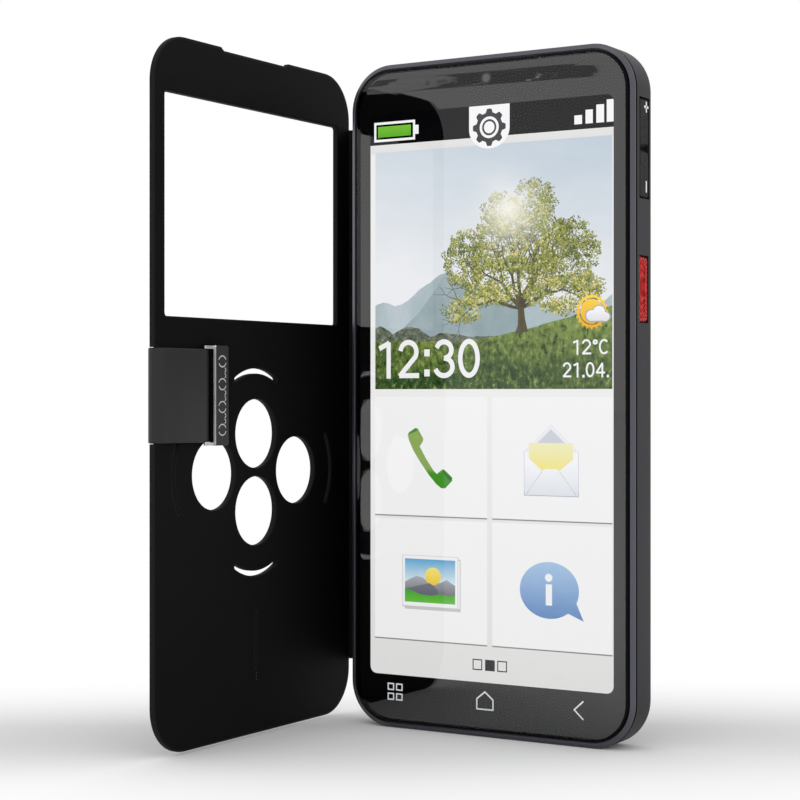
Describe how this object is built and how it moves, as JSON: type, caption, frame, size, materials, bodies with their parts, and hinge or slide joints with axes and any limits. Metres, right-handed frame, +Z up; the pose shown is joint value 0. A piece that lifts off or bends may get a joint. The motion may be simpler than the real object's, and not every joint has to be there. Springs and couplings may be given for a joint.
{
  "type": "personal digital assistant",
  "caption": "Handheld touch-screen digital assistant with side keys, hinged book cover with window and touch holes, and a folding closing strap.",
  "frame": {"origin": "centre of the handset's bottom end, on the surface it stands on", "axes": "X across the screen, -Y out of the screen, +Z up along the handset's length"},
  "size_m": [0.0818, 0.0739, 0.1482],
  "materials": {
    "cover_glass": "polished",
    "display_panel": "polished",
    "backlight_unit": "satin white film stack",
    "front_band": "satin purple-grey",
    "mid_frame": "as cast and milled",
    "rear_housing": "moulded",
    "back_shell": "satin dark grey",
    "battery": "film-wrapped cell",
    "main_board": "solder mask over fibreglass",
    "shield_cans": "tinned",
    "sub_board": "solder mask over fibreglass",
    "board_flex": "polyimide film",
    "side_key_flex": "polyimide film",
    "dome_switches": "stainless domes",
    "earpiece_speaker": "moulded",
    "earpiece_mesh": "black woven mesh",
    "front_camera": "black barrel",
    "proximity_sensor": "black window",
    "rear_camera": "black barrel",
    "rear_camera_ring": "anodised",
    "rear_camera_window": "polished",
    "flash_lens": "clear moulded lens",
    "loudspeaker": "moulded",
    "vibration_motor": "plated can",
    "usb_c_port": "plated shell",
    "headphone_jack": "moulded",
    "battery_connector": "gold plated spring contacts",
    "card_reader": "plated",
    "microphone": "plated can",
    "housing_screws": "zinc plated",
    "latch_plate": "thin steel",
    "volume_key": "dimpled dark grey",
    "side_key": "ridged red",
    "spine_tape": "black coated leather",
    "spine_skin": "black coated leather",
    "spine_lining": "microfibre",
    "cover_skin": "black coated leather",
    "cover_board": "fibre board",
    "cover_lining": "smooth black lining",
    "strap_root": "smooth dark grey",
    "strap_flap": "smooth dark grey",
    "strap_magnet": "nickel plated",
    "strap_clip": "brushed, dark engraved face"
  },
  "bodies": {
    "handset": {"cover_glass": "cover_glass", "display_panel": "display_panel", "backlight_unit": "backlight_unit", "front_band": "front_band", "mid_frame": "mid_frame", "rear_housing": "rear_housing", "back_shell": "back_shell", "battery": "battery", "main_board": "main_board", "shield_cans": "shield_cans", "sub_board": "sub_board", "board_flex": "board_flex", "side_key_flex": "side_key_flex", "dome_switches": "dome_switches", "earpiece_speaker": "earpiece_speaker", "earpiece_mesh": "earpiece_mesh", "front_camera": "front_camera", "proximity_sensor": "proximity_sensor", "rear_camera": "rear_camera", "rear_camera_ring": "rear_camera_ring", "rear_camera_window": "rear_camera_window", "flash_lens": "flash_lens", "loudspeaker": "loudspeaker", "vibration_motor": "vibration_motor", "usb_c_port": "usb_c_port", "headphone_jack": "headphone_jack", "battery_connector": "battery_connector", "card_reader": "card_reader", "microphone": "microphone", "housing_screws": "housing_screws", "latch_plate": "latch_plate", "spine_tape": "spine_tape"},
    "spine": {"spine_skin": "spine_skin", "spine_lining": "spine_lining"},
    "cover": {"cover_skin": "cover_skin", "cover_board": "cover_board", "cover_lining": "cover_lining", "strap_root": "strap_root"},
    "strap": {"strap_flap": "strap_flap", "strap_magnet": "strap_magnet", "strap_clip": "strap_clip"},
    "volume_rocker": {"volume_key": "volume_key"},
    "function_button": {"side_key": "side_key"}
  },
  "joints": [
    {"name": "spine_fold", "type": "hinge", "parent": "handset", "child": "spine", "pos_m": [-0.0333, 0.0055, 0.074], "axis": [0, 0, 1], "range_deg": [0, 90]},
    {"name": "cover_fold", "type": "hinge", "parent": "spine", "child": "cover", "pos_m": [-0.04485, 0.0098, 0.074], "axis": [0, 0, -1], "range_deg": [0, 180]},
    {"name": "strap_fold", "type": "hinge", "parent": "cover", "child": "strap", "pos_m": [-0.04485, -0.06165, 0.0741], "axis": [0, 0, -1], "range_deg": [0, 120]},
    {"name": "volume_rock", "type": "hinge", "parent": "handset", "child": "volume_rocker", "pos_m": [0.0334, 0, 0.1259], "axis": [0, 1, 0], "range_deg": [-1.5, 1.5], "stiffness_Nm_per_rad": 0.03},
    {"name": "side_key_press", "type": "slide", "parent": "handset", "child": "function_button", "axis": [-1, 0, 0], "range_m": [0, 0.0003], "stiffness_N_per_m": 500, "springref_m": -0.002}
  ],
  "couplings": [
    {"joint": "strap_fold", "follows": "spine_fold", "ratio": 1.3333}
  ]
}
